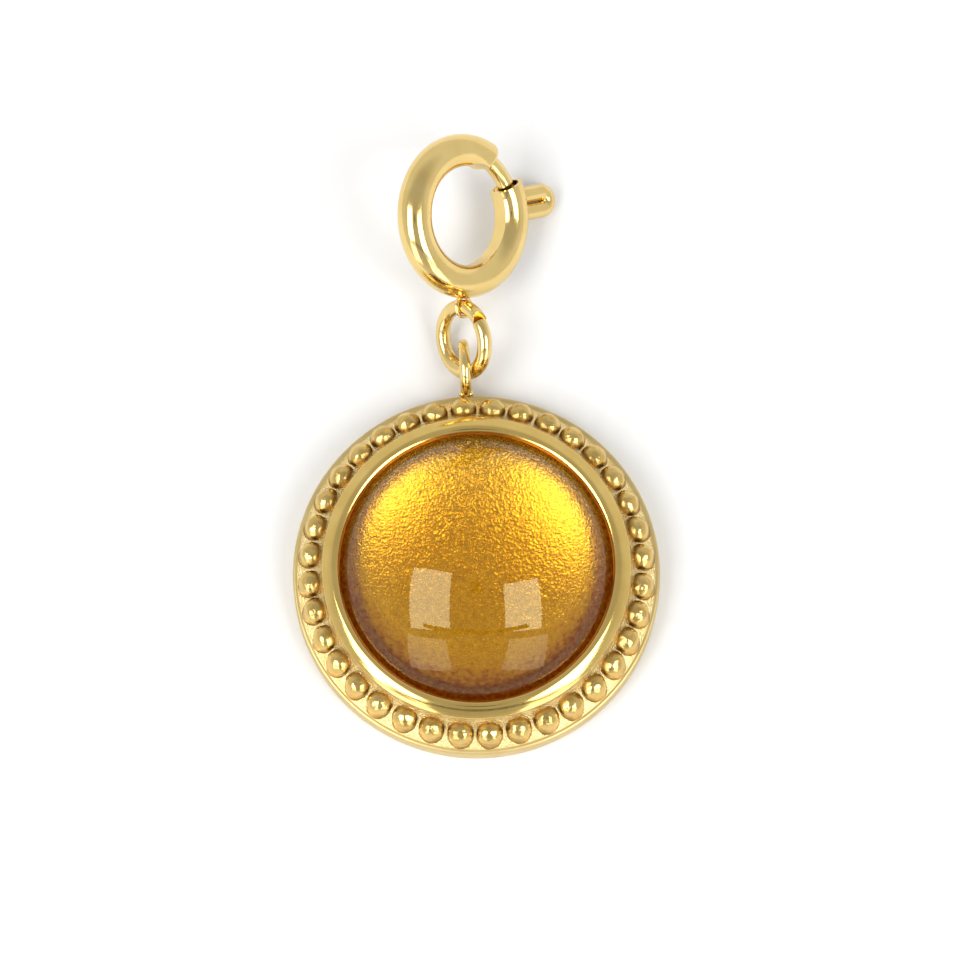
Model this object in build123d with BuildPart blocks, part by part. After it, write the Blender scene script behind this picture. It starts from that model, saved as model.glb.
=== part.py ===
from build123d import *
from math import asin, cos, degrees, pi, radians, sin, sqrt
import os

# Charm lying on its back: a round beaded pendant with a domed stone, a soldered
# hanging loop, a split jump ring and a spring ring clasp. Sizes are millimetres.
# The origin is the centre of the pendant's flat back, +Z points out of its face
# and +Y points from the pendant towards the clasp.

# Stone and the foil under it
stone_radius = 7.40
stone_girdle_height = 2.15
stone_dome_height = 3.96
stone_base_chamfer = 0.15
foil_thickness = 0.12
foil_inset = 0.05
setting_gap = 0.05
seat_gap = 0.03

# Cup, bezel, beaded border and rim of the pendant
cup_floor = 0.90
bezel_width = 0.91
bezel_crest_rise = 0.37
bezel_crest_inset = 0.25
bezel_crest_round = 0.41
bezel_flank_tilt_angle = 25.0
bezel_outer_drop = 0.35
border_width = 1.38
border_hollow = 0.15
rim_width = 0.26
rim_height = 1.50
rim_round = 0.12
back_edge_round = 0.35
bead_diameter = 1.42
bead_gap = 0.155
bead_sink = 0.01
bead_start_angle = 91.4
bead_seam_angle = 107

# Hanging loop soldered to the rim
loop_wire = 0.60
loop_outer_radius = 1.58
loop_stretch = 0.06
loop_sink = 0.06
loop_floor_gap = 0.02
solder_radius = 0.24
solder_spacing = 0.36

# Split jump ring
ring_wire = 0.80
ring_radius = 1.84
ring_split_gap = 0.05
ring_split_angle = 41.0
ring_end_step = 0.10
ring_drop_in_loop = 0.10
ring_back_in_loop = 0.22
ring_rise_angle = 26.0
ring_heading_angle = 1.8
ring_twist_angle = 50.9

# Spring ring clasp
clasp_radius = 3.57
tube_radius = 0.94
tube_wall = 0.20
tube_inner_flat = 0.11
tube_open_angle = 29.0
tube_far_angle = 61.5
tube_end_round = 0.20
tube_end_wall = 1.65
tube_end_thinning = 0.24
tube_end_hollow_radius = 1.60
tube_end_hollow_angle = 4.5
eye_wire = 0.20
eye_clearance = 0.045
eye_ring_gap = 0.06
clasp_rise_angle = 14.0
clasp_heading_angle = 3.2
clasp_twist_angle = 42.0

# Tongue and its thumb lever
tongue_wire = 0.93
tongue_reach_angle = 7.0
tongue_clearance = 0.05
lever_angle = 10.0
lever_reach = 6.75
lever_strand_gap = 0.02
slot_clearance = 0.10

# Heights and radii that follow from the values above
foil_base = cup_floor + seat_gap
stone_base = foil_base + foil_thickness + seat_gap
girdle_top = stone_base + stone_girdle_height
dome_apex = girdle_top + stone_dome_height
dome_radius = (stone_radius**2 + stone_dome_height**2) / (2 * stone_dome_height)
bezel_inner_radius = stone_radius + setting_gap
bezel_outer_radius = bezel_inner_radius + bezel_width
bezel_crest_height = girdle_top + bezel_crest_rise
bezel_outer_height = bezel_crest_height - bezel_outer_drop
bezel_crest_middle = (
    bezel_inner_radius + bezel_crest_inset,
    bezel_crest_height - bezel_crest_round,
)
bezel_lip_tilt_angle = degrees(asin(bezel_crest_inset / bezel_crest_round))
rim_inner_radius = bezel_outer_radius + border_width
pendant_radius = rim_inner_radius + rim_width

# Beads stand on the middle of the hollow border
border_slope = Vector(border_width, 0, rim_height - bezel_outer_height).normalized()
border_normal = Vector(-border_slope.Z, 0, border_slope.X)
border_middle = Vector(
    bezel_outer_radius + border_width / 2, 0, (rim_height + bezel_outer_height) / 2
)
border_bottom = border_middle - border_normal * border_hollow
bead_middle = border_middle - border_normal * bead_sink
bead_count = round(pi / asin((bead_diameter + bead_gap) / 2 / bead_middle.X))

# Loop, jump ring and clasp hang one in the other
loop_radius = loop_outer_radius - loop_wire / 2
loop_half_length = loop_outer_radius + loop_stretch / 2
loop_middle = Vector(
    0, pendant_radius + loop_half_length - loop_sink, loop_outer_radius + loop_floor_gap
)
ring_low = loop_middle - Vector(0, ring_back_in_loop, ring_drop_in_loop)
eye_distance = clasp_radius + tube_radius + ring_wire / 2 + eye_ring_gap
eye_radius = ring_wire / 2 + eye_clearance + eye_wire / 2


def chain_frame(rise, heading, twist):
    """Unit vectors of a link whose length climbs by rise and turns right by heading.

    The first vector points across the link, turned up by twist, and the second along it.
    """
    along = Vector(
        sin(radians(heading)) * cos(radians(rise)),
        cos(radians(heading)) * cos(radians(rise)),
        sin(radians(rise)),
    )
    level = Vector(cos(radians(heading)), -sin(radians(heading)), 0)
    upward = level.cross(along)
    across = level * cos(radians(twist)) + upward * sin(radians(twist))
    return across, along


ring_across, ring_along = chain_frame(ring_rise_angle, ring_heading_angle, ring_twist_angle)
ring_plane = Plane(
    origin=ring_low + ring_along * ring_radius,
    x_dir=ring_across,
    z_dir=ring_across.cross(ring_along),
)
eye_middle = ring_low + ring_along * (2 * ring_radius)
clasp_across, clasp_along = chain_frame(clasp_rise_angle, clasp_heading_angle, -clasp_twist_angle)
clasp_plane = Plane(
    origin=eye_middle + clasp_along * eye_distance,
    x_dir=clasp_across,
    z_dir=clasp_across.cross(clasp_along),
)
clasp_axis = Axis(clasp_plane.origin, clasp_plane.z_dir)

# The tongue bends out into a lever of two strands, which slides in a slot of the tube
strand_offset = (tongue_wire + lever_strand_gap) / 2
lever_half_height = strand_offset + tongue_wire / 2
lever_turn_start = lever_reach - lever_half_height
lever_root = sqrt(clasp_radius**2 - strand_offset**2)
tongue_start_angle = lever_angle + degrees(asin(strand_offset / clasp_radius))
tongue_end_angle = tube_far_angle + tongue_reach_angle
tube_sweep_angle = 360 - (tube_far_angle - tube_open_angle)
clasp_inner_radius = clasp_radius - tube_radius + tube_inner_flat
end_hollow_middle = clasp_inner_radius + tube_end_thinning - tube_end_hollow_radius
bore_start_angle = tube_far_angle + degrees(tube_end_wall / clasp_radius)
lever_travel_angle = tongue_end_angle - tube_open_angle
guide_sweep_angle = bore_start_angle + tongue_reach_angle - tube_open_angle
slot_half_width = tongue_wire / 2 + slot_clearance
slot_inner_radius = clasp_radius + tongue_wire / 2
slot_half_angle = degrees(asin((lever_half_height + slot_clearance) / slot_inner_radius))


def clasp_outwards(angle):
    """Unit vector from the clasp's axis outwards at an angle in the plane of its ring."""
    turn = radians(angle)
    return clasp_plane.x_dir * cos(turn) + clasp_plane.y_dir * sin(turn)


def tube_plane(angle):
    """Plane that cuts the clasp's tube across: X points outwards, Y along the clasp's axis."""
    outwards = clasp_outwards(angle)
    return Plane(clasp_plane.origin, x_dir=outwards, z_dir=outwards.cross(clasp_plane.z_dir))


os.makedirs("parts", exist_ok=True)

# Pendant: a turned cup with its beaded border, and the loop soldered to its rim
with BuildPart() as pendant_frame:
    with BuildSketch(Plane.XZ) as cup_section:
        with BuildLine():
            back = Line((0, 0), (pendant_radius - back_edge_round, 0))
            edge = RadiusArc(
                back @ 1, (pendant_radius, back_edge_round), -back_edge_round
            )
            side = Line(edge @ 1, (pendant_radius, rim_height - rim_round))
            corner = RadiusArc(
                side @ 1, (pendant_radius - rim_round, rim_height), -rim_round
            )
            land = Line(corner @ 1, (rim_inner_radius, rim_height))
            hollow = ThreePointArc(
                land @ 1,
                (border_bottom.X, border_bottom.Z),
                (bezel_outer_radius, bezel_outer_height),
            )
            crest = CenterArc(
                bezel_crest_middle,
                bezel_crest_round,
                90 - bezel_flank_tilt_angle,
                bezel_flank_tilt_angle + bezel_lip_tilt_angle,
            )
            TangentArc(crest @ 0, hollow @ 1, tangent=-(crest % 0))
            wall = Line(crest @ 1, (bezel_inner_radius, cup_floor))
            floor = Line(wall @ 1, (0, cup_floor))
            Line(floor @ 1, (0, 0))
        make_face()
    revolve(axis=Axis.Z)
    with Locations((0, 0, bead_middle.Z)):
        with PolarLocations(bead_middle.X, bead_count, start_angle=bead_start_angle):
            Sphere(bead_diameter / 2, rotation=(0, 0, bead_seam_angle))
    with BuildLine(Plane(loop_middle, x_dir=(0, 1, 0), z_dir=(1, 0, 0))) as loop_path:
        far_turn = CenterArc((loop_stretch / 2, 0), loop_radius, -90, 180)
        Line(far_turn @ 1, (-loop_stretch / 2, loop_radius))
        CenterArc((-loop_stretch / 2, 0), loop_radius, 90, 180)
        Line((-loop_stretch / 2, -loop_radius), far_turn @ 0)
    with BuildSketch(Plane(loop_path.wire() @ 0, x_dir=(1, 0, 0), z_dir=loop_path.wire() % 0)):
        Circle(loop_wire / 2)
    sweep(path=loop_path.wire())
    with Locations((0, pendant_radius + solder_radius / 2, rim_height)):
        with GridLocations(solder_spacing, 0, 2, 1):
            Sphere(solder_radius)
pendant_frame.part.label = "pendant_frame"
export_step(pendant_frame.part, "parts/pendant_frame.step")

# Foil disc under the stone
with BuildPart() as foil_backing:
    with BuildSketch(Plane.XY.offset(foil_base)):
        Circle(stone_radius - foil_inset)
    extrude(amount=foil_thickness)
foil_backing.part.label = "foil_backing"
export_step(foil_backing.part, "parts/foil_backing.step")

# Domed stone with a flat base and a straight girdle
with BuildPart() as cabochon:
    with BuildSketch(Plane.XZ) as stone_section:
        with BuildLine():
            dome_half_angle = asin(stone_radius / dome_radius) / 2
            base = Line((0, stone_base), (stone_radius - stone_base_chamfer, stone_base))
            bevel = Line(base @ 1, (stone_radius, stone_base + stone_base_chamfer))
            girdle = Line(bevel @ 1, (stone_radius, girdle_top))
            dome = ThreePointArc(
                girdle @ 1,
                (
                    dome_radius * sin(dome_half_angle),
                    dome_apex - dome_radius * (1 - cos(dome_half_angle)),
                ),
                (0, dome_apex),
            )
            Line(dome @ 1, base @ 0)
        make_face()
    revolve(axis=Axis.Z)
cabochon.part.label = "cabochon"
export_step(cabochon.part, "parts/cabochon.step")

# Split jump ring: two tangent half turns, the second a little tighter, so that the
# cut ends meet with a small step
with BuildPart() as jump_ring:
    with BuildLine(ring_plane) as ring_path:
        split_half_angle = degrees(ring_split_gap / (2 * ring_radius))
        first_turn = CenterArc(
            (0, 0), ring_radius, ring_split_angle + split_half_angle, 180 - split_half_angle
        )
        tight_radius = ring_radius - ring_end_step / 2
        tight_middle = (
            -ring_end_step / 2 * cos(radians(ring_split_angle)),
            -ring_end_step / 2 * sin(radians(ring_split_angle)),
        )
        second_turn = CenterArc(
            tight_middle, tight_radius, ring_split_angle + 180, 180 - split_half_angle
        )
    with BuildSketch(Plane(ring_path.wire() @ 0, z_dir=ring_path.wire() % 0)):
        Circle(ring_wire / 2)
    sweep(path=ring_path.wire())
jump_ring.part.label = "jump_ring"
export_step(jump_ring.part, "parts/jump_ring.step")

# Clasp: hollow tube bent into a ring, flat on its inner side, with a gap for the tongue,
# a far end closed around the tongue and thinner on its inner side, a slot for the lever
# in its outer wall and a small eye for the jump ring
with BuildPart() as clasp_ring:
    with BuildSketch(tube_plane(tube_far_angle)):
        with Locations((clasp_radius, 0)):
            Circle(tube_radius)
    revolve(axis=clasp_axis, revolution_arc=tube_sweep_angle)
    far_end_middle = clasp_plane.origin + clasp_outwards(tube_far_angle) * clasp_radius
    far_end_face = clasp_ring.faces().filter_by(GeomType.PLANE).sort_by_distance(far_end_middle)[0]
    fillet(far_end_face.edges(), tube_end_round)
    with Locations(clasp_plane):
        Cylinder(clasp_inner_radius, 2 * tube_radius, mode=Mode.SUBTRACT)
        with Locations(
            (
                end_hollow_middle * cos(radians(tube_far_angle + tube_end_hollow_angle)),
                end_hollow_middle * sin(radians(tube_far_angle + tube_end_hollow_angle)),
                0,
            )
        ):
            Cylinder(tube_end_hollow_radius, 2 * tube_radius, mode=Mode.SUBTRACT)
    with Locations(Plane(eye_middle, z_dir=clasp_plane.z_dir)):
        Torus(eye_radius, eye_wire / 2)
    with BuildSketch(tube_plane(bore_start_angle)):
        with Locations((clasp_radius, 0)):
            Circle(tube_radius - tube_wall)
        with Locations((clasp_radius - tube_radius, 0)):
            Rectangle(2 * (tube_inner_flat + tube_wall), 2 * tube_radius, mode=Mode.SUBTRACT)
    revolve(
        axis=clasp_axis,
        revolution_arc=tube_sweep_angle - (bore_start_angle - tube_far_angle),
        mode=Mode.SUBTRACT,
    )
    with BuildSketch(tube_plane(tube_open_angle)):
        with Locations((clasp_radius, 0)):
            Circle(tongue_wire / 2 + tongue_clearance)
    revolve(axis=clasp_axis, revolution_arc=guide_sweep_angle, mode=Mode.SUBTRACT)
    with BuildSketch(tube_plane(lever_angle - lever_travel_angle - slot_half_angle)):
        with Locations((clasp_radius + tube_radius, 0)):
            Rectangle(2 * tube_radius, 2 * slot_half_width)
    revolve(
        axis=clasp_axis, revolution_arc=lever_travel_angle + 2 * slot_half_angle, mode=Mode.SUBTRACT
    )
clasp_ring.part.label = "clasp_ring"
export_step(clasp_ring.part, "parts/clasp_ring.step")

# Tongue: bent wire that crosses the gap, then turns out and doubles back as the lever
with BuildPart() as clasp_tongue:
    with BuildSketch(tube_plane(tongue_start_angle)):
        with Locations((clasp_radius, 0)):
            Circle(tongue_wire / 2)
    revolve(axis=clasp_axis, revolution_arc=tongue_end_angle - tongue_start_angle)
    lever_plane = Plane(
        clasp_plane.origin, x_dir=clasp_outwards(lever_angle), z_dir=clasp_plane.z_dir
    )
    with BuildLine(lever_plane) as lever_path:
        upper = Line((lever_root, strand_offset), (lever_turn_start, strand_offset))
        turn = ThreePointArc(
            upper @ 1,
            (lever_turn_start + strand_offset, 0),
            (lever_turn_start, -strand_offset),
        )
        Line(turn @ 1, (lever_root, -strand_offset))
    with BuildSketch(Plane(lever_path.wire() @ 0, z_dir=lever_path.wire() % 0)):
        Circle(tongue_wire / 2)
    sweep(path=lever_path.wire())
    with Locations(lever_path.wire() @ 0, lever_path.wire() @ 1):
        Sphere(tongue_wire / 2)
clasp_tongue.part.label = "clasp_tongue"
export_step(clasp_tongue.part, "parts/clasp_tongue.step")
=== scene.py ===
import logging
from collections.abc import Callable
from dataclasses import dataclass, field
from enum import Enum
from math import asin, atan2, cos, degrees, pi, radians, sin, sqrt, tan, tau
from random import Random

import bpy
from mathutils import Matrix, Vector

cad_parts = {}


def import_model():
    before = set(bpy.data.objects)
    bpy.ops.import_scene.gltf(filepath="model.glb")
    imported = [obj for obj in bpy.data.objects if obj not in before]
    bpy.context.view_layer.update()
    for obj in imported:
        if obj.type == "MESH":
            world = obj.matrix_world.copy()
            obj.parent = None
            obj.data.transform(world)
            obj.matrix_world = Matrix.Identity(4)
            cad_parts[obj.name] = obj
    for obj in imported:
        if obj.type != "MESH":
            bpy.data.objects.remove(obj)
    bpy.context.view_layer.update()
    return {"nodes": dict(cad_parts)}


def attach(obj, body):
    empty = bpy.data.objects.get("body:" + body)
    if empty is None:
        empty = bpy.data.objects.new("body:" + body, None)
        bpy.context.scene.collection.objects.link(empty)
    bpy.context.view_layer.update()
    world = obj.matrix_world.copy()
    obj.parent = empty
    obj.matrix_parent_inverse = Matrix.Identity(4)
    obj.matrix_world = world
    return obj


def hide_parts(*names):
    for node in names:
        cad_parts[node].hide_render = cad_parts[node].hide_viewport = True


MM = 0.001
MERGE_DISTANCE = 1e-6
TOUCH = 0.01
log = logging.getLogger("charm")

Point = tuple[float, float]
Place = tuple[float, float, float]
Piece = bpy.types.Object
Material = bpy.types.Material
Node = bpy.types.Node
Socket = bpy.types.NodeSocket
Tree = bpy.types.NodeTree
Value = float | Place | Vector | Socket


# Hand tools: the small steps of all modelling


def clear_selection() -> None:
    """Leaves edit mode and deselects every object."""
    if bpy.context.object is not None and bpy.context.object.mode != "OBJECT":
        bpy.ops.object.mode_set(mode="OBJECT")
    bpy.ops.object.select_all(action="DESELECT")


def select_only(piece: Piece) -> None:
    """Selects one piece, which becomes the active one."""
    clear_selection()
    piece.select_set(True)
    bpy.context.view_layer.objects.active = piece


def take_primitive(name: str) -> Piece:
    """Names the primitive that was just added and moves its place into its mesh.

    Args:
        name: the piece's name.

    Returns:
        The piece, with its object at the origin.
    """
    piece = bpy.context.object
    piece.name = name
    select_only(piece)
    bpy.ops.object.transform_apply(location=True, rotation=True, scale=True)
    return piece


def begin_edit(piece: Piece, select: str = "VERT") -> None:
    """Opens a piece in edit mode with all of it selected.

    Args:
        piece: the piece to edit.
        select: VERT, EDGE or FACE, the kind of element to select.
    """
    select_only(piece)
    bpy.ops.object.mode_set(mode="EDIT")
    bpy.ops.mesh.select_mode(type=select)
    bpy.ops.mesh.select_all(action="SELECT")


def select_vertices(piece: Piece, wanted: Callable[[Vector], bool]) -> None:
    """Selects the vertices of a piece in edit mode by their place.

    Args:
        piece: a piece that is open in edit mode.
        wanted: a test that takes a vertex's place, in millimetres, and says whether to select it.
    """
    bpy.ops.mesh.select_all(action="DESELECT")
    bpy.ops.object.mode_set(mode="OBJECT")
    for vertex in piece.data.vertices:
        vertex.select = wanted(vertex.co / MM)
    bpy.ops.object.mode_set(mode="EDIT")


def end_edit(piece: Piece, smooth_angle: float = 35.0) -> None:
    """Merges doubles, turns the faces outwards, leaves edit mode and smooths the shading.

    Args:
        piece: a piece that is open in edit mode. It is not used.
        smooth_angle: edges sharper than this, in degrees, stay sharp.
    """
    bpy.ops.mesh.select_all(action="SELECT")
    bpy.ops.mesh.remove_doubles(threshold=MERGE_DISTANCE)
    bpy.ops.mesh.normals_make_consistent(inside=False)
    bpy.ops.object.mode_set(mode="OBJECT")
    bpy.ops.object.shade_smooth_by_angle(angle=radians(smooth_angle))


def close_holes() -> None:
    """Closes every open edge loop of the piece in edit mode."""
    bpy.ops.mesh.select_all(action="DESELECT")
    bpy.ops.mesh.select_non_manifold(
        use_wire=False, use_multi_face=False, use_non_contiguous=False, use_verts=False
    )
    bpy.ops.mesh.fill_holes(sides=0)


def sweep_selection(turn: float, centre: Vector, axis: Vector, steps: int) -> None:
    """Sweeps what is selected about an axis.

    Args:
        turn: angle of the sweep in radians, right-handed about the axis.
        centre: a point of the axis, in millimetres.
        axis: direction of the axis.
        steps: number of steps of the sweep.
    """
    bpy.ops.mesh.spin(steps=steps, angle=-turn, center=centre * MM, axis=axis)


def finish_modifier(piece: Piece, kind: str, **settings: object) -> None:
    """Adds a modifier to a piece and applies it.

    Args:
        piece: the piece to change.
        kind: Blender's name of the modifier's type.
        settings: the modifier's values.
    """
    select_only(piece)
    modifier = piece.modifiers.new(kind.lower(), kind)
    for key, value in settings.items():
        setattr(modifier, key, value)
    bpy.ops.object.modifier_apply(modifier=modifier.name)


def arc_through(start: Point, middle: Point, end: Point, steps: int) -> list[Point]:
    """Points of the circular arc through three points.

    Args:
        start: first point.
        middle: a point that the arc passes.
        end: last point.
        steps: number of chords.

    Returns:
        The arc's points, its ends among them.
    """
    (ax, ay), (bx, by), (cx, cy) = start, middle, end
    d = 2 * (ax * (by - cy) + bx * (cy - ay) + cx * (ay - by))
    a2, b2, c2 = ax * ax + ay * ay, bx * bx + by * by, cx * cx + cy * cy
    ox = (a2 * (by - cy) + b2 * (cy - ay) + c2 * (ay - by)) / d
    oy = (a2 * (cx - bx) + b2 * (ax - cx) + c2 * (bx - ax)) / d
    radius = sqrt((ax - ox) ** 2 + (ay - oy) ** 2)
    first, through, last = (atan2(y - oy, x - ox) for x, y in (start, middle, end))
    turn = (last - first) % tau
    if (through - first) % tau > turn:
        turn -= tau
    angles = [first + turn * i / steps for i in range(steps + 1)]
    return [(ox + radius * cos(angle), oy + radius * sin(angle)) for angle in angles]


def soften_corners(points: list[Point], corners: dict[int, float], steps: int = 4) -> list[Point]:
    """Rounds chosen corners of a profile.

    Args:
        points: the profile's points.
        corners: how far before and after a point its corner is cut, by the point's number.
        steps: number of chords of each rounded corner.

    Returns:
        The profile with those corners rounded.
    """
    made: list[Point] = []
    for i, point in enumerate(points):
        reach = corners.get(i)
        if reach is None:
            made.append(point)
            continue
        here = Vector(point)
        before = here + (Vector(points[i - 1]) - here).normalized() * reach
        after = here + (Vector(points[i + 1]) - here).normalized() * reach
        for k in range(steps + 1):
            t = k / steps
            bent = before * (1 - t) ** 2 + here * 2 * t * (1 - t) + after * t**2
            made.append((bent.x, bent.y))
    return made


def turned_piece(name: str, profile: list[Point], steps: int, smooth_angle: float) -> Piece:
    """Turns a profile once about the Z axis, as on a lathe.

    Args:
        name: the piece's name.
        profile: points of the profile as radius and height, in millimetres.
        steps: number of steps round the axis.
        smooth_angle: edges sharper than this, in degrees, stay sharp.

    Returns:
        The closed, turned piece.
    """
    clear_selection()
    radius, height = profile[0]
    bpy.ops.mesh.primitive_plane_add(size=MM, location=(radius * MM, 0, height * MM))
    piece = take_primitive(name)
    begin_edit(piece)
    bpy.ops.mesh.merge(type="CENTER")
    for (r0, z0), (r1, z1) in zip(profile, profile[1:]):
        move = ((r1 - r0) * MM, 0, (z1 - z0) * MM)
        bpy.ops.mesh.extrude_vertices_move(
            TRANSFORM_OT_translate={"value": move, "orient_type": "GLOBAL"}
        )
    bpy.ops.mesh.select_all(action="SELECT")
    sweep_selection(tau, Vector((0, 0, 0)), Vector((0, 0, 1)), steps)
    end_edit(piece, smooth_angle)
    return piece


def join_pieces(pieces: list[Piece], name: str) -> Piece:
    """Joins pieces into one.

    Args:
        pieces: the pieces to join.
        name: name of the joined piece.

    Returns:
        The joined piece.
    """
    clear_selection()
    for piece in pieces:
        piece.select_set(True)
    bpy.context.view_layer.objects.active = pieces[0]
    bpy.ops.object.join()
    joined = bpy.context.object
    joined.name = name
    return joined


def roughen(
    piece: Piece, grain: float, strength: float, wanted: Callable[[Vector], float]
) -> None:
    """Gives part of a piece's surface real relief.

    Args:
        piece: the piece to change.
        grain: size of the relief's grain, in millimetres.
        strength: height of the relief, in millimetres.
        wanted: takes a vertex's place, in millimetres, and gives its share of the relief.
    """
    group = piece.vertex_groups.new(name="relief")
    for vertex in piece.data.vertices:
        share = wanted(vertex.co / MM)
        if share > 0:
            group.add([vertex.index], share, "REPLACE")
    clouds = bpy.data.textures.new(piece.name + "_relief", "CLOUDS")
    clouds.noise_scale = grain * MM
    clouds.noise_depth = 1
    finish_modifier(
        piece, "DISPLACE", texture=clouds, texture_coords="LOCAL", direction="NORMAL",
        strength=strength * MM, mid_level=0.5, vertex_group="relief",
    )


def dress_faces(piece: Piece, finish: Material, wanted: Callable[[Vector, Vector], bool]) -> None:
    """Gives some faces of a piece a finish of their own.

    Args:
        piece: the piece to dress.
        finish: the faces' finish.
        wanted: a test that takes a face's middle, in millimetres, and its normal.
    """
    piece.data.materials.append(finish)
    piece.active_material_index = len(piece.data.materials) - 1
    begin_edit(piece, "FACE")
    bpy.ops.mesh.select_all(action="DESELECT")
    bpy.ops.object.mode_set(mode="OBJECT")
    for face in piece.data.polygons:
        face.select = wanted(face.center / MM, face.normal)
    bpy.ops.object.mode_set(mode="EDIT")
    bpy.ops.object.material_slot_assign()
    clear_selection()


def mark_painted_shade(piece: Piece, depth: Callable[[Vector], float]) -> None:
    """Stores on a piece's mesh, as its crevice attribute, how much painted shade each vertex gets.

    Args:
        piece: the piece to mark.
        depth: takes a vertex's place, in millimetres, and gives its depth from 0 to 1.
    """
    marks = piece.data.attributes.new("crevice", "FLOAT", "POINT")
    marks.data.foreach_set("value", [depth(vertex.co / MM) for vertex in piece.data.vertices])


# Finishes


class Nodes:
    """Short calls for building a node tree."""

    def __init__(self, tree: Tree) -> None:
        """Keeps the tree that the calls add to."""
        self.tree = tree

    def add(self, kind: str, **settings: object) -> Node:
        """Adds a node and sets its own values.

        Args:
            kind: Blender's name of the node's type.
            settings: the node's values.

        Returns:
            The node.
        """
        node = self.tree.nodes.new(kind)
        for key, value in settings.items():
            setattr(node, key, value)
        return node

    def link(self, source: Socket, target: Socket) -> None:
        """Joins two sockets."""
        self.tree.links.new(source, target)

    def feed(self, value: Value, socket: Socket) -> None:
        """Gives a socket a number, a colour or another socket's value.

        Args:
            value: the number, colour or socket.
            socket: the socket that takes it.
        """
        if isinstance(value, Socket):
            self.link(value, socket)
        elif isinstance(value, tuple):
            socket.default_value = (*value, 1)
        else:
            socket.default_value = value

    def give(self, node: Node, values: dict[str | int, Value]) -> None:
        """Feeds a node's inputs by their names or numbers."""
        for label, value in values.items():
            self.feed(value, node.inputs[label])

    def value(
        self, kind: str, inputs: dict[str | int, Value], output: str | int = 0, **settings: object
    ) -> Socket:
        """Adds a node and feeds its inputs.

        Args:
            kind: Blender's name of the node's type.
            inputs: what each input takes, by its name or number.
            output: name or number of the output that is wanted.
            settings: the node's own values.

        Returns:
            The output.
        """
        node = self.add(kind, **settings)
        self.give(node, inputs)
        return node.outputs[output]

    def math(self, operation: str, first: Value, second: Value) -> Socket:
        """Works out a Math node's operation on two sockets or numbers."""
        return self.value("ShaderNodeMath", {0: first, 1: second}, operation=operation)

    def clamp(self, value: Socket) -> Socket:
        """Holds a value between 0 and 1."""
        return self.value("ShaderNodeClamp", {"Value": value})

    def place(self) -> Socket:
        """Reads a surface's place on its object, in metres."""
        return self.value("ShaderNodeTexCoord", {}, "Object")

    def noise(self, place: Socket, scale: Value, detail: Value = 2.0) -> Socket:
        """Reads a cloudy noise from 0 to 1, with scale grains per unit of the place."""
        return self.value("ShaderNodeTexNoise", {"Vector": place, "Scale": scale, "Detail": detail})

    def parts(self, vector: Socket) -> list[Socket]:
        """Splits a vector into its X, Y and Z."""
        return list(self.value("ShaderNodeSeparateXYZ", {"Vector": vector}).node.outputs)

    def group(self, tree: Tree, values: dict[str, Value]) -> Socket:
        """Places a node group with its values and gives its result."""
        return self.value("ShaderNodeGroup", values, node_tree=tree)

    def map_range(self, value: Socket, low: Value, high: Value) -> Socket:
        """Spreads a value from 0 to 1 between two limits."""
        return self.value("ShaderNodeMapRange", {"Value": value, "To Min": low, "To Max": high})

    def bump(self, relief: Socket, height: float, below: Socket | None = None) -> Socket:
        """Turns a relief of a height in metres into a normal, on top of the one below, if any."""
        under = {} if below is None else {"Normal": below}
        return self.value("ShaderNodeBump", {"Distance": height, "Height": relief, **under})

    def blend(self, mask: Socket, low: Value, high: Value) -> Socket:
        """Mixes two colours.

        Args:
            mask: where the second colour shows.
            low: colour or socket where the mask is 0.
            high: colour or socket where the mask is 1.

        Returns:
            The mixed colour.
        """
        node = self.add("ShaderNodeMix", data_type="RGBA")
        colours = [socket for socket in node.inputs if socket.type == "RGBA"]
        self.link(mask, node.inputs["Factor"])
        self.feed(low, colours[0])
        self.feed(high, colours[1])
        return next(socket for socket in node.outputs if socket.type == "RGBA")


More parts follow.
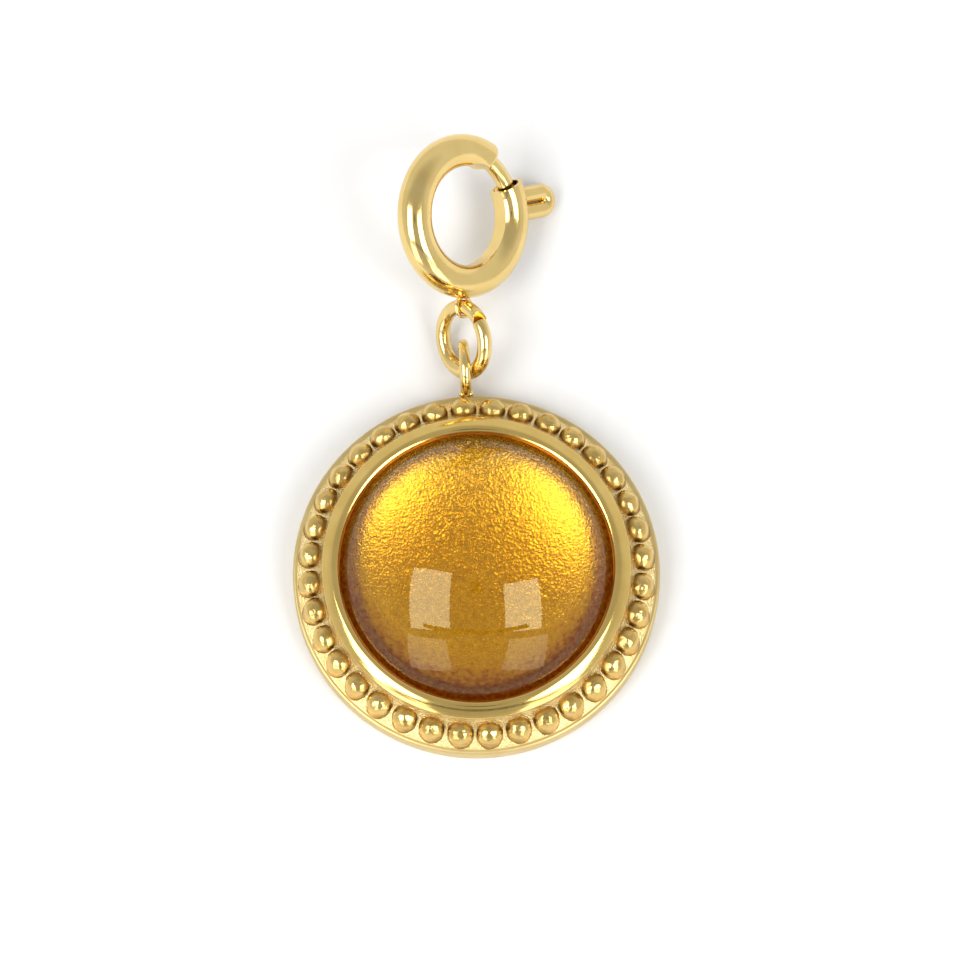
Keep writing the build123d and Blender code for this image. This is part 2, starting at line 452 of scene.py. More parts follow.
class SurfaceEffects:
    """Node groups that more than one finish uses."""

    middle = 0.5
    ring_waver = 90.0
    ragged_grains = 5200.0
    least_depth = 0.01

    def __init__(self) -> None:
        """Builds each group once."""
        self.grain = self._grain()
        self.tone = self._tone()
        self.marks = self._marks()
        self.crevice = self._crevice()

    @staticmethod
    def _new(name: str, inputs: dict[str, float], output: str) -> tuple[Tree, Nodes, Node, Socket]:
        """Makes an empty group with named sockets.

        Args:
            name: the group's name.
            inputs: name and starting value of each number that it takes.
            output: name of its result.

        Returns:
            The group, its node helper, its input node and the socket of its result.
        """
        group = bpy.data.node_groups.new(name, "ShaderNodeTree")
        for label, value in inputs.items():
            socket = group.interface.new_socket(label, in_out="INPUT", socket_type="NodeSocketFloat")
            socket.default_value = value
        group.interface.new_socket(output, in_out="OUTPUT", socket_type="NodeSocketFloat")
        nodes = Nodes(group)
        return group, nodes, nodes.add("NodeGroupInput"), nodes.add("NodeGroupOutput").inputs[output]

    def _grain(self) -> Tree:
        """Fine unevenness of polished, cast or crinkled metal.

        Returns:
            The group.
        """
        group, nodes, given, relief = self._new(
            "fine_grain", {"Grains per metre": 4000.0, "Detail": 2.0}, "Relief"
        )
        scale, detail = given.outputs["Grains per metre"], given.outputs["Detail"]
        nodes.link(nodes.noise(nodes.place(), scale, detail), relief)
        return group

    def _tone(self) -> Tree:
        """Slow change of tone over a plated surface, as a mask from 0 to 1.

        Returns:
            The group.
        """
        group, nodes, given, mask = self._new(
            "plating_tone", {"Patches per metre": 600.0, "Contrast": 1.0}, "Mask"
        )
        patches = nodes.noise(nodes.place(), given.outputs["Patches per metre"], detail=3)
        centred = nodes.math("SUBTRACT", patches, self.middle)
        spread = nodes.math("MULTIPLY", centred, given.outputs["Contrast"])
        nodes.link(nodes.clamp(nodes.math("ADD", spread, self.middle)), mask)
        return group

    def _marks(self) -> Tree:
        """Fine rings that turning and polishing leave round the Z axis.

        Returns:
            The group.
        """
        group, nodes, given, relief = self._new("turning_marks", {"Rings per metre": 9000.0}, "Relief")
        rings = given.outputs["Rings per metre"]
        x, y, z = nodes.parts(nodes.place())
        flat = nodes.value("ShaderNodeCombineXYZ", {"X": x, "Y": y})
        radius = nodes.value("ShaderNodeVectorMath", {0: flat}, "Value", operation="LENGTH")
        across = nodes.value("ShaderNodeCombineXYZ", {
            "X": nodes.math("MULTIPLY", radius, rings),
            "Y": nodes.math("MULTIPLY", z, rings),
            "Z": nodes.math("MULTIPLY", x, self.ring_waver),
        })
        nodes.link(nodes.noise(across, scale=1, detail=3), relief)
        return group

    def _crevice(self) -> Tree:
        """Painted shade, as a mask from the mesh's own crevice attribute, with a ragged edge.

        Returns:
            The group.
        """
        group, nodes, given, mask = self._new("crevice_painted_shade", {"Ragged edge": 0.4}, "Mask")
        depth = nodes.value(
            "ShaderNodeAttribute", {}, "Fac", attribute_name="crevice", attribute_type="GEOMETRY"
        )
        centred = nodes.math("SUBTRACT", nodes.noise(nodes.place(), self.ragged_grains), self.middle)
        ragged = nodes.math("MULTIPLY", centred, given.outputs["Ragged edge"])
        inside = nodes.math("GREATER_THAN", depth, self.least_depth)
        uneven = nodes.math("MULTIPLY", nodes.math("ADD", depth, ragged), inside)
        nodes.link(nodes.clamp(uneven), mask)
        return group


def new_material(name: str) -> tuple[Material, Nodes, Node]:
    """Makes a material.

    Args:
        name: the material's name.

    Returns:
        The material, its node helper and its Principled shader.
    """
    made = bpy.data.materials.new(name)
    made.use_nodes = True
    return made, Nodes(made.node_tree), made.node_tree.nodes["Principled BSDF"]


def matt_grey(name: str, tone: float) -> Material:
    """Builds an even, dull grey for a thing of the studio.

    Args:
        name: the material's name.
        tone: its lightness, from 0 to 1.

    Returns:
        The material.
    """
    made, nodes, shader = new_material(name)
    nodes.give(shader, {"Base Color": (tone, tone, tone), "Roughness": 0.9})
    return made


@dataclass(frozen=True)
class GoldFinish:
    """Gold-toned metal: a slowly changing tone, fine grain and, where asked, marks and painted shade in
    crevices.
    """

    name: str
    bright: Place
    deep: Place
    smooth: float
    dull: float
    grain: float = 6000.0
    grain_height: float = 0.0006
    marks_height: float = 0.0
    painted_shade_colour: Place | None = None
    crevice_roughness: float = 0.40
    ragged: float = 0.5
    patches: float = 700.0

    def material(self, effects: SurfaceEffects) -> Material:
        """Builds the finish.

        Args:
            effects: the shared node groups.

        Returns:
            The material.
        """
        made, nodes, shader = new_material(self.name)
        tone = nodes.group(effects.tone, {"Patches per metre": self.patches, "Contrast": 2.0})
        colour = nodes.blend(tone, self.deep, self.bright)
        relief = nodes.group(effects.grain, {"Grains per metre": self.grain})
        rough = nodes.map_range(relief, self.smooth, self.dull)
        normal = nodes.bump(relief, self.grain_height * MM)
        if self.marks_height:
            normal = nodes.bump(nodes.group(effects.marks, {}), self.marks_height * MM, normal)
        # Painted shade: where the crevice attribute marks it, the colour darkens and the metal also
        # dulls.
        if self.painted_shade_colour is not None:
            painted_shade_mask = nodes.group(effects.crevice, {"Ragged edge": self.ragged})
            colour = nodes.blend(painted_shade_mask, colour, self.painted_shade_colour)
            rough = nodes.map_range(painted_shade_mask, rough, self.crevice_roughness)
        nodes.give(shader, {"Base Color": colour, "Metallic": 1, "Roughness": rough, "Normal": normal})
        return made


class Gold(Enum):
    """The charm's gold-toned finishes."""

    POLISHED = GoldFinish(
        "polished_gold", (0.83, 0.63, 0.26), (0.76, 0.55, 0.20), 0.10, 0.18,
        grain=3000, grain_height=0.002,
    )
    TURNED = GoldFinish(
        "turned_gold", (0.80, 0.58, 0.19), (0.70, 0.48, 0.14), 0.08, 0.14, marks_height=0.0045
    )
    SATIN = GoldFinish(
        "satin_gold", (0.66, 0.52, 0.24), (0.58, 0.43, 0.17), 0.38, 0.48, grain_height=0.004
    )
    # The grainy floor's crevice colour is painted shade along the bezel's foot and the rim.
    GRAINY = GoldFinish(
        "grainy_gold", (1.00, 0.84, 0.42), (0.80, 0.56, 0.20), 0.18, 0.32,
        grain=12000, grain_height=0.06, patches=3500,
        painted_shade_colour=(0.28, 0.15, 0.04), crevice_roughness=0.5,
    )
    # The cast beads' crevice colour is painted shade round their feet.
    CAST = GoldFinish(
        "cast_gold", (0.77, 0.56, 0.20), (0.58, 0.38, 0.11), 0.12, 0.24,
        grain=7000, grain_height=0.012, patches=1500, painted_shade_colour=(0.24, 0.13, 0.03),
    )
    # The seat's dark red-brown is painted shade for the cup's wall in shadow under the stone's edge.
    SEAT = GoldFinish(
        "stone_seat", (0.68, 0.26, 0.06), (0.42, 0.14, 0.03), 0.35, 0.50,
        grain_height=0.002, patches=500,
    )
    # The foil's crevice colour is painted shade towards its lower edge.
    FOIL = GoldFinish(
        "gold_foil", (0.90, 0.66, 0.17), (0.62, 0.41, 0.07), 0.20, 0.33,
        grain=8500, grain_height=0.050, patches=5200, painted_shade_colour=(0.40, 0.12, 0.01), ragged=2.2,
    )


@dataclass(frozen=True)
class StoneGlass:
    """Clear amber-yellow glass, crinkled like the foil where it lies on it."""

    name: str = "citrine_glass"
    colour: Place = (0.98, 0.85, 0.25)
    density: float = 300.0
    reflected: Place = (0.92, 0.92, 0.60)
    roughness: float = 0.0
    index: float = 1.5
    crinkled_below: float = 1.16
    crinkle: float = 7500.0
    crinkle_height: float = 0.014

    def material(self, effects: SurfaceEffects) -> Material:
        """Builds the glass.

        Args:
            effects: the shared node groups.

        Returns:
            The material.
        """
        made, nodes, shader = new_material(self.name)
        depth = nodes.value(
            "ShaderNodeVolumeAbsorption", {"Color": self.colour, "Density": self.density}
        )
        nodes.give(made.node_tree.nodes["Material Output"], {"Volume": depth})
        height = nodes.parts(nodes.place())[2]
        low = nodes.math("LESS_THAN", height, self.crinkled_below * MM)
        relief = nodes.group(effects.grain, {"Grains per metre": self.crinkle})
        normal = nodes.bump(nodes.math("MULTIPLY", relief, low), self.crinkle_height * MM)
        nodes.give(shader, {
            "Base Color": (1, 1, 1), "Specular Tint": self.reflected, "Transmission Weight": 1,
            "Roughness": self.roughness, "IOR": self.index, "Normal": normal,
        })
        return made


# The pendant. Its sizes, the stone's and the jump ring's are in millimetres, angles in degrees


@dataclass
class Pendant:
    """Turned cup with a beaded border, a hanging loop and its solder."""

    radius: float = 10.0
    rim_height: float = 1.50
    rim_width: float = 0.26
    rim_round: float = 0.15
    rim_edge_cut: float = 0.05
    back_round: float = 0.35
    floor: float = 0.90
    bezel_inner: float = 7.45
    bezel_outer: float = 8.36
    bezel_outer_height: float = 3.25
    bezel_foot_cut: float = 0.03
    crest_height: float = 3.60
    crest_radius: float = 7.70
    crest_round: float = 0.41
    flank_tilt: float = 25.0
    lip_cut: float = 0.025
    seat_drop: float = 0.14
    back_chords: int = 10
    rim_chords: int = 8
    hollow_chords: int = 30
    flank_chords: int = 16
    crest_chords: int = 18
    lathe_steps: int = 660
    hollow_depth: float = 0.15
    floor_grain: float = 0.10
    floor_relief: float = 0.045
    floor_fade: float = 0.12
    floor_overlap: float = 0.02
    back_facing: float = -0.5
    foot_shade: float = 0.3
    bead_radius: float = 0.61
    bead_width: float = 1.46
    bead_depth: float = 1.34
    bead_inset: float = 0.06
    bead_foot: float = 0.13
    bead_sink: float = 0.15
    bead_segments: int = 48
    bead_rings: int = 28
    bead_skirt_steps: int = 4
    bead_shade_base: float = 0.12
    bead_shade_height: float = 0.36
    bead_grain: float = 0.42
    bead_unevenness: float = 0.08
    bead_spread: float = 0.035
    bead_wander: float = 0.15
    bead_seed: int = 36
    bead_count: int = 36
    bead_start: float = 91.4
    loop_middle: Vector = field(default_factory=lambda: Vector((0, 11.55, 1.60)))
    loop_radius: float = 1.28
    loop_stretch: float = 0.06
    loop_segments: int = 112
    wire_radius: float = 0.30
    wire_segments: int = 40
    solder_radius: float = 0.24
    solder_spacing: float = 0.36
    solder_grain: float = 0.025

    @property
    def rim_inner(self) -> float:
        """Radius where the rim meets the hollow border."""
        return self.radius - self.rim_width

    @property
    def border_middle(self) -> Vector:
        """Middle of the straight line across the border, as radius and height."""
        height = (self.bezel_outer_height + self.rim_height) / 2
        return Vector(((self.bezel_outer + self.rim_inner) / 2, height))

    @property
    def border_normal(self) -> Vector:
        """Direction out of the border, as radius and height."""
        fall = self.rim_height - self.bezel_outer_height
        across = Vector((self.rim_inner - self.bezel_outer, fall)).normalized()
        return Vector((-across.y, across.x))

    def cup(self, gold: dict[Gold, Material]) -> Piece:
        """Turns the cup with its rim, border and bezel, roughens the border's floor and dresses it.

        Args:
            gold: the built finishes. The bezel is turned, the rim, the side and the back are
                satin, the border's floor is grainy, and the stone's seat has a finish of its own.

        Returns:
            The piece.
        """
        bottom = self.border_middle - self.border_normal * self.hollow_depth
        short = 1 - cos(pi / 4)
        back = arc_through(
            (self.radius - self.back_round, 0),
            (self.radius - self.back_round * short, self.back_round * short),
            (self.radius, self.back_round), self.back_chords,
        )
        rim = arc_through(
            (self.radius, self.rim_height - self.rim_round),
            (self.radius - self.rim_round * short, self.rim_height - self.rim_round * short),
            (self.radius - self.rim_round, self.rim_height), self.rim_chords,
        )
        hollow = arc_through(
            (self.rim_inner, self.rim_height), tuple(bottom),
            (self.bezel_outer, self.bezel_outer_height), self.hollow_chords,
        )
        flank, crest = self.bezel_curves()
        seat = [(self.bezel_inner, self.floor), (0.0, self.floor)]
        profile = [(0.0, 0.0), *back, *rim, *hollow, *flank[1:-1], *crest, *seat]
        rim_edge = 1 + len(back) + len(rim)
        foot = rim_edge + len(hollow) - 1
        lip = len(profile) - len(seat) - 1
        cuts = {rim_edge: self.rim_edge_cut, foot: self.bezel_foot_cut, lip: self.lip_cut}
        piece = turned_piece("pendant_cup", soften_corners(profile, cuts), self.lathe_steps, 30)
        roughen(piece, self.floor_grain, self.floor_relief, self.in_hollow)
        # Painted shade on the border's floor along the bezel's foot and the rim.
        mark_painted_shade(piece, self.foot_painted_shade)
        piece.data.materials.append(gold[Gold.TURNED])
        seat_top = self.crest_height - self.seat_drop
        floor_end = self.rim_inner - self.floor_overlap
        seat_end = self.bezel_inner + TOUCH
        # The stone's seat gets a dark red-brown finish of painted shade.
        for kind, wanted in (
            (Gold.SEAT, lambda at, up: at.xy.length < seat_end and self.floor / 2 < at.z < seat_top),
            (Gold.SATIN, lambda at, up: at.xy.length > floor_end or up.z < self.back_facing),
            (Gold.GRAINY, lambda at, up: self.bezel_outer < at.xy.length < floor_end and up.z > 0),
        ):
            dress_faces(piece, gold[kind], wanted)
        return piece

    def bezel_curves(self) -> tuple[list[Point], list[Point]]:
        """Curves of the bezel's section: the flank from the border up, and the crest by the stone.

        Returns:
            The flank's points and the crest's points.
        """
        middle = (self.crest_radius, self.crest_height - self.crest_round)
        lip_tilt = degrees(asin((self.crest_radius - self.bezel_inner) / self.crest_round))
        crest = []
        for i in range(self.crest_chords + 1):
            tilt = radians(self.flank_tilt - (self.flank_tilt + lip_tilt) * i / self.crest_chords)
            across, up = self.crest_round * sin(tilt), self.crest_round * cos(tilt)
            crest.append((middle[0] + across, middle[1] + up))
        start, end = Vector(crest[0]), Vector((self.bezel_outer, self.bezel_outer_height))
        chord = end - start
        turn = -atan2(chord.y, chord.x) - radians(self.flank_tilt)
        bulge = chord.length / 2 * tan(turn / 2)
        top = (start + end) / 2 + Vector((-chord.y, chord.x)).normalized() * bulge
        return arc_through(tuple(end), tuple(top), tuple(start), self.flank_chords), crest

    def in_hollow(self, place: Vector) -> float:
        """How far a place is into the border's hollow, from 0 at its edges to 1.

        Args:
            place: a place on the cup.

        Returns:
            The share.
        """
        radius = place.xy.length
        from_edge = min(radius - self.bezel_outer, self.rim_inner - radius)
        if from_edge <= 0 or place.z < self.floor:
            return 0.0
        return min(1.0, from_edge / self.floor_fade)

    def foot_painted_shade(self, place: Vector) -> float:
        """Painted shade on the border's floor, deepest next to the bezel's foot and the rim."""
        inside = self.in_hollow(place)
        return self.foot_shade * (1 - inside) if inside > 0 else 0.0

    def bead_painted_shade(self, place: Vector) -> float:
        """Painted shade on a bead, from 0 on its top to 1 next to the border's floor.

        Args:
            place: a place on a bead.

        Returns:
            The share.
        """
        section = Vector((place.xy.length, place.z))
        over = (section - self.border_middle).dot(self.border_normal) + self.hollow_depth
        return max(0.0, min(1.0, 1 - (over - self.bead_shade_base) / self.bead_shade_height))

    def bead(self, seat: Vector) -> Piece:
        """Makes one bead: a flattened half ball on a skirt that widens down to the border's floor.

        Args:
            seat: radius and height of its middle.

        Returns:
            The bead, on the X axis.
        """
        clear_selection()
        middle = (seat.x * MM, 0, seat.y * MM)
        bpy.ops.mesh.primitive_uv_sphere_add(
            segments=self.bead_segments, ring_count=self.bead_rings,
            radius=self.bead_radius * MM, location=middle,
        )
        size = 2 * self.bead_radius
        bpy.context.object.scale = (self.bead_depth / size, self.bead_width / size, 1)
        bead = take_primitive("bead")
        begin_edit(bead)
        bpy.ops.mesh.bisect(plane_co=middle, plane_no=(0, 0, 1), use_fill=False, clear_inner=True)
        drop = (self.rim_height - self.bead_sink - seat.y) / self.bead_skirt_steps
        spread = self.bead_foot / self.bead_radius / self.bead_skirt_steps
        for _ in range(self.bead_skirt_steps):
            select_vertices(bead, lambda co: co.z < min(v.co.z for v in bead.data.vertices) / MM + TOUCH)
            bpy.ops.mesh.extrude_region_move(TRANSFORM_OT_translate={"value": (0, 0, drop * MM)})
            bpy.ops.transform.resize(value=(1 + spread, 1 + spread / 2, 1), center_override=middle)
        close_holes()
        end_edit(bead, 60)
        return bead

    def beads(self, finish: Material) -> Piece:
        """Copies a bead round the border, each copy a little out of place and smaller by chance.

        Args:
            finish: the beads' metal.

        Returns:
            All beads as one piece.
        """
        seat = self.border_middle - Vector((self.bead_inset, 0))
        bead = self.bead(seat)
        bead.data.materials.append(finish)
        chance = Random(self.bead_seed)
        middle = Matrix.Translation((seat.x * MM, 0, seat.y * MM))
        made = []
        for i in range(self.bead_count):
            wander = chance.uniform(-self.bead_wander, self.bead_wander)
            turn = self.bead_start + 360 / self.bead_count * i + wander
            size = 1 - chance.uniform(0, self.bead_spread)
            smaller = middle @ Matrix.Diagonal((size, size, 1, 1)) @ middle.inverted()
            twin = bead.copy()
            twin.data = bead.data.copy()
            twin.name = f"bead_{i:02d}"
            bpy.context.scene.collection.objects.link(twin)
            twin.data.transform(Matrix.Rotation(radians(turn), 4, "Z") @ smaller)
            made.append(twin)
        bpy.data.objects.remove(bead)
        border = join_pieces(made, "bead_border")
        # Painted shade round the beads' feet.
        mark_painted_shade(border, self.bead_painted_shade)
        roughen(border, self.bead_grain, self.bead_unevenness, lambda place: 1.0)
        return border

    def loop(self, finish: Material) -> Piece:
        """Makes the hanging loop, a little longer than wide.

        Args:
            finish: the loop's metal.

        Returns:
            The piece.
        """
        clear_selection()
        bpy.ops.mesh.primitive_torus_add(
            location=self.loop_middle * MM, rotation=(0, pi / 2, 0),
            major_segments=self.loop_segments, minor_segments=self.wire_segments,
            major_radius=self.loop_radius * MM, minor_radius=self.wire_radius * MM,
        )
        piece = take_primitive("hanging_loop")
        for side in (-1, 1):
            begin_edit(piece)
            select_vertices(piece, lambda co: (co.y - self.loop_middle.y) * side > TOUCH)
            bpy.ops.transform.translate(value=(0, side * self.loop_stretch / 2 * MM, 0))
            end_edit(piece)
        piece.data.materials.append(finish)
        return piece

    def solder(self, finish: Material) -> Piece:
        """Makes the two drops of solder that hold the loop on the rim.

        Args:
            finish: the solder's metal.

        Returns:
            The piece.
        """
        drops = []
        for side in (-0.5, 0.5):
            clear_selection()
            out = self.radius + self.solder_radius / 2
            place = Vector((side * self.solder_spacing, out, self.rim_height))
            bpy.ops.mesh.primitive_ico_sphere_add(
                subdivisions=4, radius=self.solder_radius * MM, location=place * MM
            )
            drops.append(take_primitive("drop"))
        piece = join_pieces(drops, "solder_drops")
        grain = self.solder_grain * MM
        finish_modifier(piece, "REMESH", mode="VOXEL", voxel_size=grain, use_smooth_shade=True)
        finish_modifier(piece, "SMOOTH", factor=0.5, iterations=6)
        piece.data.materials.append(finish)
        return piece


# The stone


@dataclass
class Stone:
    """Domed stone with a straight girdle, and the crinkled foil under it."""

    radius: float = 7.40
    base: float = 1.08
    girdle_top: float = 3.23
    apex: float = 7.19
    base_chamfer: float = 0.15
    dome_chords: int = 72
    steps: int = 320
    foil_radius: float = 7.35
    foil_bottom: float = 0.93
    foil_top: float = 1.05
    foil_grain: float = 0.20
    foil_relief: float = 0.025
    foil_flat_edge: float = 0.1
    foil_bright_radius: float = 5.1
    foil_bright_offset: float = 1.4
    foil_shade_width: float = 1.5
    foil_shade_most: float = 0.8
    foil_steps: int = 420
    foil_rings: int = 84

    def dome(self, finish: Material) -> Piece:
        """Turns the stone.

        Args:
            finish: the stone's glass.

        Returns:
            The piece.
        """
        rise = self.apex - self.girdle_top
        sphere = (self.radius**2 + rise**2) / (2 * rise)
        half = asin(self.radius / sphere) / 2
        over = arc_through(
            (self.radius, self.girdle_top),
            (sphere * sin(half), self.apex - sphere * (1 - cos(half))),
            (0.0, self.apex), self.dome_chords,
        )
        profile = [
            (0.0, self.base),
            (self.radius - self.base_chamfer, self.base),
            (self.radius, self.base + self.base_chamfer),
            *over,
        ]
        piece = turned_piece("domed_stone", profile, self.steps, 25)
        piece.data.materials.append(finish)
        return piece

    def foil_painted_shade(self, place: Vector) -> float:
        """How much painted shade the foil gets at a place: from 0 in its bright upper middle to most at
        its lower edge.
        """
        from_middle = (place.xy - Vector((0, self.foil_bright_offset))).length
        shade = (from_middle - self.foil_bright_radius) / self.foil_shade_width
        return max(0.0, min(self.foil_shade_most, shade))

    def foil(self, finish: Material) -> Piece:
        """Turns the foil disc and crinkles its upper side.

        Args:
            finish: the foil's metal.

        Returns:
            The piece.
        """
        shares = [1 - i / self.foil_rings for i in range(self.foil_rings + 1)]
        flat = [(self.foil_radius * share, self.foil_top) for share in shares]
        profile = [(0.0, self.foil_bottom), (self.foil_radius, self.foil_bottom), *flat]
        piece = turned_piece("crinkled_foil", profile, self.foil_steps, 60)
        # Painted shade: the foil darkens towards its lower edge.
        mark_painted_shade(piece, self.foil_painted_shade)
        inside = self.foil_radius - self.foil_flat_edge
        roughen(
            piece, self.foil_grain, self.foil_relief,
            lambda co: 1.0 if co.z > self.foil_top - TOUCH and co.xy.length < inside else 0.0,
        )
        piece.data.materials.append(finish)
        return piece


# The jump ring


@dataclass
class JumpRing:
    """Split ring that joins the pendant's loop to the clasp's eye."""

    foot: Place = (0, 11.33, 1.50)
    rise: float = 26.0
    heading: float = 1.8
    twist: float = 50.9
    radius: float = 1.84
    wire: float = 0.80
    split_angle: float = 41.0
    split_gap: float = 0.05
    end_step: float = 0.10
    cut_facing: Place = (0.757, -0.52, 0.396)
    cut_out: float = 0.05
    cut_reach: float = 1.1
    cut_break: float = 0.02
    steps: int = 80
    sides: int = 48

    def __post_init__(self) -> None:
        """Works out the ring's plane: it climbs from its foot in the loop, turns right and rolls."""
        up, side, roll = radians(self.rise), radians(self.heading), radians(self.twist)
        self.along = Vector((sin(side) * cos(up), cos(side) * cos(up), sin(up)))
        level = Vector((cos(side), -sin(side), 0))
        self.across = level * cos(roll) + level.cross(self.along) * sin(roll)
        self.axis = self.across.cross(self.along)
        self.middle = Vector(self.foot) + self.along * self.radius

    def outwards(self, angle: float) -> Vector:
        """Unit vector from the middle at an angle in degrees."""
        return self.across * cos(radians(angle)) + self.along * sin(radians(angle))

    def forwards(self, angle: float) -> Vector:
        """Unit vector round the ring at an angle in degrees."""
        return self.along * cos(radians(angle)) - self.across * sin(radians(angle))

    def ring(self, finish: Material) -> Piece:
        """Sweeps the wire in two half turns, the second a little tighter.

        Args:
            finish: the wire's metal.

        Returns:
            The piece.
        """
        half_gap = degrees(self.split_gap / (2 * self.radius))
        start = self.split_angle + half_gap
        clear_selection()
        bpy.ops.mesh.primitive_circle_add(
            vertices=self.sides, radius=self.wire / 2 * MM, fill_type="NOTHING",
            location=(self.middle + self.outwards(start) * self.radius) * MM,
            rotation=Vector((0, 0, 1)).rotation_difference(self.forwards(start)).to_euler(),
        )
        piece = take_primitive("split_jump_ring")
        begin_edit(piece)
        half_turn = radians(180 - half_gap)
        sweep_selection(half_turn, self.middle, self.axis, self.steps)
        tight = self.middle - self.outwards(self.split_angle) * (self.end_step / 2)
        sweep_selection(half_turn, tight, self.axis, self.steps)
        close_holes()
        end_edit(piece, 40)
        self.slant_end(piece, start)
        finish_modifier(
            piece, "BEVEL", width=self.cut_break * MM, segments=2,
            limit_method="ANGLE", angle_limit=radians(38),
        )
        piece.data.materials.append(finish)
        return piece

    def slant_end(self, piece: Piece, angle: float) -> None:
        """Cuts the wire's upper end aslant, as side cutters leave it.

        Args:
            piece: the ring.
            angle: place of the end, in degrees.
        """
        outwards, forwards = self.outwards(angle), self.forwards(angle)
        end = self.middle + outwards * self.radius
        out, on, over = self.cut_facing
        facing = (outwards * out + forwards * on + self.axis * over).normalized()
        begin_edit(piece)
        select_vertices(
            piece,
            lambda co: (co - end).length < self.cut_reach and (co - end).dot(forwards) > -2 * TOUCH,
        )
        bpy.ops.mesh.bisect(
            plane_co=(end + outwards * self.cut_out) * MM, plane_no=facing,
            use_fill=False, clear_outer=True,
        )
        close_holes()
        end_edit(piece, 40)


# The studio. Its sizes are in metres, the camera's place in millimetres


@dataclass(frozen=True)
class View:
    """The camera's directions, as seen from the charm."""

    right: Vector
    up: Vector
    back: Vector

    def facing(self, azimuth: float, elevation: float, distance: float) -> Matrix:
        """Place of a thing that faces the charm.

        Args:
            azimuth: degrees to the camera's right.
            elevation: degrees above the camera.
            distance: metres from the charm.

        Returns:
            The place.
        """
        az, el = radians(azimuth), radians(elevation)
        away = self.back * (cos(az) * cos(el)) + self.right * (sin(az) * cos(el)) + self.up * sin(el)
        across = self.up.cross(away).normalized()
        turned = Matrix((across, away.cross(across), away)).transposed().to_4x4()
        return Matrix.Translation(away * distance) @ turned


@dataclass(frozen=True)
class SoftBox:
    """A soft studio light, placed as seen from the charm."""

    name: str
    azimuth: float
    elevation: float
    width: float
    height: float
    radiance: float
    lean: float = 0.0
    distance: float = 0.5

    def build(self, view: View) -> None:
        """Adds the light.

        Args:
            view: the camera's directions.
        """
        lamp = bpy.data.lights.new(self.name, "AREA")
        lamp.shape = "RECTANGLE"
        lamp.size = self.width
        lamp.size_y = self.height
        lamp.energy = self.radiance * pi * self.width * self.height
        light = bpy.data.objects.new(self.name, lamp)
        place = view.facing(self.azimuth, self.elevation, self.distance)
        light.matrix_world = place @ Matrix.Rotation(radians(-self.lean), 4, "Z")
        bpy.context.scene.collection.objects.link(light)


@dataclass(frozen=True)
class DarkShade:
    """A dark thing near the camera that polished metal mirrors: its lens or its stand's bar."""

    name: str
    azimuth: float
    elevation: float
    width: float
    height: float
    distance: float
    tone: float = 0.03

    def build(self, view: View) -> None:
        """Places the shade.

        Args:
            view: the camera's directions.
        """
        clear_selection()
        bpy.ops.mesh.primitive_grid_add(x_subdivisions=8, y_subdivisions=8, size=1)
        place = view.facing(self.azimuth, self.elevation, self.distance)
        bpy.context.object.matrix_world = place @ Matrix.Diagonal((self.width, self.height, 1, 1))
        shade = take_primitive(self.name)
        shade.visible_camera = False
        shade.visible_shadow = False
        shade.data.materials.append(matt_grey(self.name + "_black", self.tone))


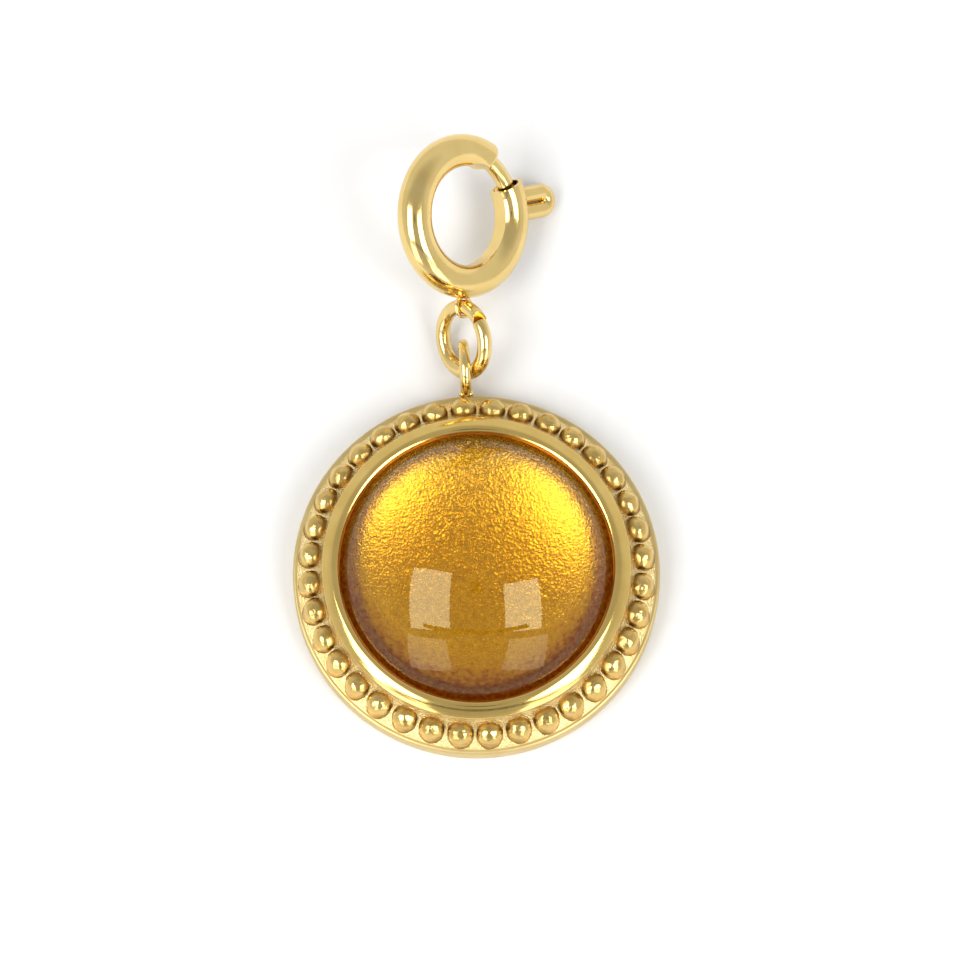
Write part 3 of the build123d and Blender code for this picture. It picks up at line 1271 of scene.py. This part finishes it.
@dataclass
class Studio:
    """Camera, floor, soft boxes and surroundings."""

    tilt: float = 13.5
    roll: float = 3.2
    focal_pixels: float = 5484.0
    picture_width: float = 966.0
    sensor_width: float = 36.0
    camera_place: Place = (0.3556, 5.29, 300.0)
    boxes: tuple[SoftBox, ...] = (
        SoftBox("left_box", -33.6, -8.1, 0.262, 0.368, 6.0, 6.0),
        SoftBox("right_box", 33.8, -12.2, 0.235, 0.300, 6.4, -9.0),
        SoftBox("lower_left_box", -45.2, -44.6, 0.24, 0.21, 2.1, 18.0),
        SoftBox("lower_right_box", 46.8, -44.2, 0.24, 0.21, 2.1, -17.0),
    )
    near_camera: float = 0.54
    near_angle: float = 35.0
    all_round: float = 0.84
    all_round_angle: float = 75.0
    shades: tuple[DarkShade, ...] = (
        DarkShade("lens_shade", 0.0, 0.0, 0.045, 0.045, 0.34),
        DarkShade("stand_shade", 0.0, -31.2, 0.62, 0.022, 0.42),
    )
    paper: float = 0.74
    paper_size: float = 0.6

    def build(self) -> None:
        """Builds the camera, the lights, the floor and the surroundings."""
        view = self.camera()
        for thing in (*self.boxes, *self.shades):
            thing.build(view)
        self.floor()
        self.surroundings(view.back)
        bpy.context.scene.view_settings.view_transform = "Standard"

    def surroundings(self, back: Vector) -> None:
        """Lights the room softly, a little less on the side that the photograph was taken from.

        Args:
            back: direction from the charm to the camera.
        """
        world = bpy.data.worlds.new("studio")
        world.use_nodes = True
        nodes = Nodes(world.node_tree)
        place = nodes.value("ShaderNodeTexCoord", {}, "Generated")
        facing = nodes.value(
            "ShaderNodeVectorMath", {0: place, 1: back}, "Value", operation="DOT_PRODUCT"
        )
        level = nodes.value("ShaderNodeMapRange", {
            "Value": facing,
            "From Min": cos(radians(self.all_round_angle)), "From Max": cos(radians(self.near_angle)),
            "To Min": self.all_round, "To Max": self.near_camera,
        }, interpolation_type="SMOOTHSTEP")
        nodes.give(world.node_tree.nodes["Background"], {"Color": (1, 1, 1), "Strength": level})
        bpy.context.scene.world = world

    def camera(self) -> View:
        """Adds the camera at the photograph's angle.

        Returns:
            The camera's directions.
        """
        tilt, roll = radians(self.tilt), radians(self.roll)
        right = Vector((cos(roll), -sin(roll), 0))
        head = Vector((sin(roll), cos(roll), 0))
        up = head * cos(tilt) + Vector((0, 0, 1)) * sin(tilt)
        back = Vector((0, 0, 1)) * cos(tilt) - head * sin(tilt)
        lens = bpy.data.cameras.new("camera")
        lens.sensor_width = self.sensor_width
        lens.lens = lens.sensor_width * self.focal_pixels / self.picture_width
        lens.clip_start = 0.01
        camera = bpy.data.objects.new("camera", lens)
        bpy.context.scene.collection.objects.link(camera)
        along, high, away = self.camera_place
        place = (right * along + up * high + back * away) * MM
        turned = Matrix((right, up, back)).transposed().to_4x4()
        camera.matrix_world = Matrix.Translation(place) @ turned
        bpy.context.scene.camera = camera
        return View(right, up, back)

    def floor(self) -> None:
        """Lays the plain pale floor."""
        clear_selection()
        bpy.ops.mesh.primitive_plane_add(size=self.paper_size)
        paper = take_primitive("floor")
        paper.data.materials.append(matt_grey("pale_paper", self.paper))


# The charm


class Body(Enum):
    """Bodies of the charm that pieces ride on."""

    CHARM = "charm"
    TONGUE = "tongue"


class Slot(Enum):
    """Material slots of the charm."""

    GOLD = "gold_tone_metal"
    STONE = "citrine_glass"
    FOIL = "foil"


def report(piece: Piece, body: Body) -> None:
    """Logs a piece's body, its triangles and its box in millimetres.

    Args:
        piece: the finished piece.
        body: the body it rides on.
    """
    places = [vertex.co / MM for vertex in piece.data.vertices]
    low = tuple(round(min(place[i] for place in places), 3) for i in range(3))
    high = tuple(round(max(place[i] for place in places), 3) for i in range(3))
    triangles = sum(len(face.vertices) - 2 for face in piece.data.polygons)
    log.info("%s on %s: %d triangles, %s to %s", piece.name, body.value, triangles, low, high)


def set_piece(piece: Piece, body: Body, node: str) -> None:
    """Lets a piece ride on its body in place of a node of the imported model, and reports it.

    Args:
        piece: the finished piece.
        body: the body it rides on.
        node: name of the node that the piece stands for.
    """
    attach(piece, body.value)
    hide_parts(node)
    report(piece, body)


def main() -> None:
    """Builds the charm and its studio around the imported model."""
    logging.basicConfig(level=logging.INFO, format="%(message)s")
    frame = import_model()
    effects = SurfaceEffects()
    gold = {kind: kind.value.material(effects) for kind in Gold}
    for name, body in (("clasp_ring", Body.CHARM), ("clasp_tongue", Body.TONGUE)):
        node = frame["nodes"][name]
        node.data.materials.clear()
        node.data.materials.append(gold[Gold.POLISHED])
        report(node, body)

    pendant = Pendant()
    set_piece(pendant.cup(gold), Body.CHARM, "pendant_frame")
    for build, kind in (
        (pendant.beads, Gold.CAST), (pendant.loop, Gold.POLISHED), (pendant.solder, Gold.POLISHED)
    ):
        set_piece(build(gold[kind]), Body.CHARM, "pendant_frame")

    stone = Stone()
    set_piece(stone.foil(gold[Gold.FOIL]), Body.CHARM, "foil_backing")
    set_piece(stone.dome(StoneGlass().material(effects)), Body.CHARM, "cabochon")
    set_piece(JumpRing().ring(gold[Gold.POLISHED]), Body.CHARM, "jump_ring")

    Studio().build()


if __name__ == "__main__":
    main()
